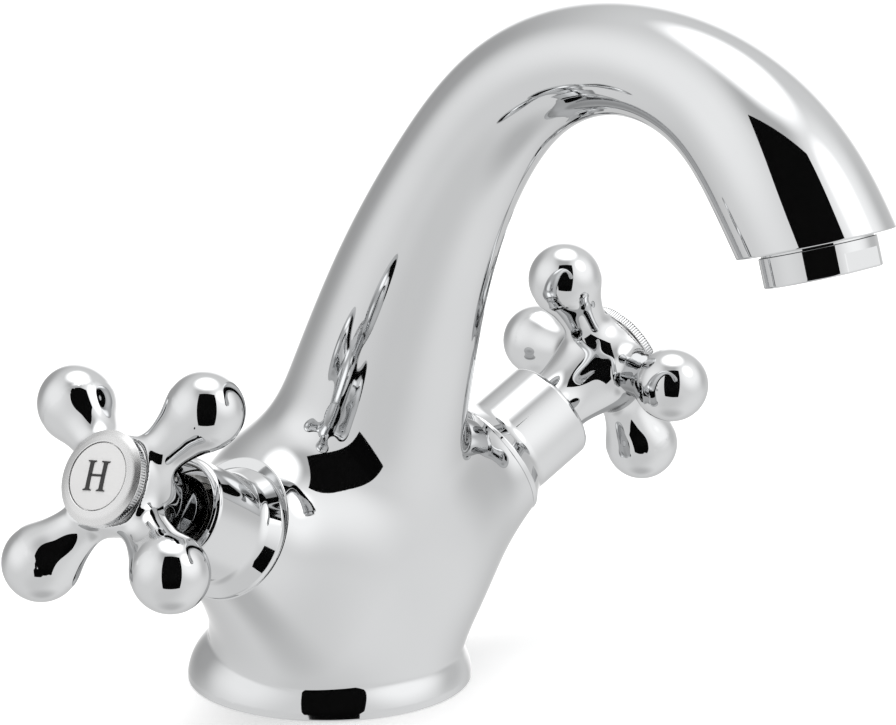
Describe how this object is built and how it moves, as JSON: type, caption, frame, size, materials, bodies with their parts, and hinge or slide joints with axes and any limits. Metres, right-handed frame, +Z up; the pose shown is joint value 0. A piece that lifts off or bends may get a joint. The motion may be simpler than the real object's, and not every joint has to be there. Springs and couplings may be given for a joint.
{
  "type": "basin mixer tap",
  "caption": "Single-hole basin mixer tap with an arched swan-neck spout, a flared round foot and two angled cross handles with ball-ended arms.",
  "frame": {"origin": "centre of the flat underside of the foot", "axes": "+Z up, spout towards -Y, hot handle at -X and cold handle at +X"},
  "size_m": [0.167, 0.1707, 0.1494],
  "materials": {
    "chrome": "polished chrome plate on brass",
    "brass": "machined brass",
    "steel": "stainless steel",
    "rubber": "black rubber",
    "ceramic": "lapped ceramic",
    "polymer": "moulded acetal",
    "index_white": "white enamel with black letter"
  },
  "bodies": {
    "root": {"body_casting": "chrome", "base_seal": "rubber", "aerator_housing": "chrome", "aerator_core": "polymer", "aerator_screen": "steel", "aerator_washer": "rubber", "hot_collar_ring": "chrome", "hot_bonnet_shroud": "chrome", "hot_flange_washer": "polymer", "hot_valve_body": "brass", "hot_seat_seal": "rubber", "hot_fixed_ceramic_disc": "ceramic", "cold_collar_ring": "chrome", "cold_bonnet_shroud": "chrome", "cold_flange_washer": "polymer", "cold_valve_body": "brass", "cold_seat_seal": "rubber", "cold_fixed_ceramic_disc": "ceramic"},
    "hot_handle": {"hot_turning_ceramic_disc": "ceramic", "hot_spindle": "brass", "hot_spindle_oring": "rubber", "hot_circlip": "steel", "hot_cross_handle": "chrome", "hot_handle_insert": "polymer", "hot_handle_screw": "steel", "hot_index_cap": "chrome", "hot_index_disc": "index_white"},
    "cold_handle": {"cold_turning_ceramic_disc": "ceramic", "cold_spindle": "brass", "cold_spindle_oring": "rubber", "cold_circlip": "steel", "cold_cross_handle": "chrome", "cold_handle_insert": "polymer", "cold_handle_screw": "steel", "cold_index_cap": "chrome", "cold_index_disc": "index_white"}
  },
  "joints": [
    {"name": "hot_turn", "type": "hinge", "parent": "root", "child": "hot_handle", "pos_m": [0, -0.00542, 0.02041], "axis": [-0.8698, -0.1165, 0.4795], "range_deg": [0, 90]},
    {"name": "cold_turn", "type": "hinge", "parent": "root", "child": "cold_handle", "pos_m": [0, -0.00542, 0.02041], "axis": [0.8698, -0.1165, 0.4795], "range_deg": [-90, 0]}
  ]
}
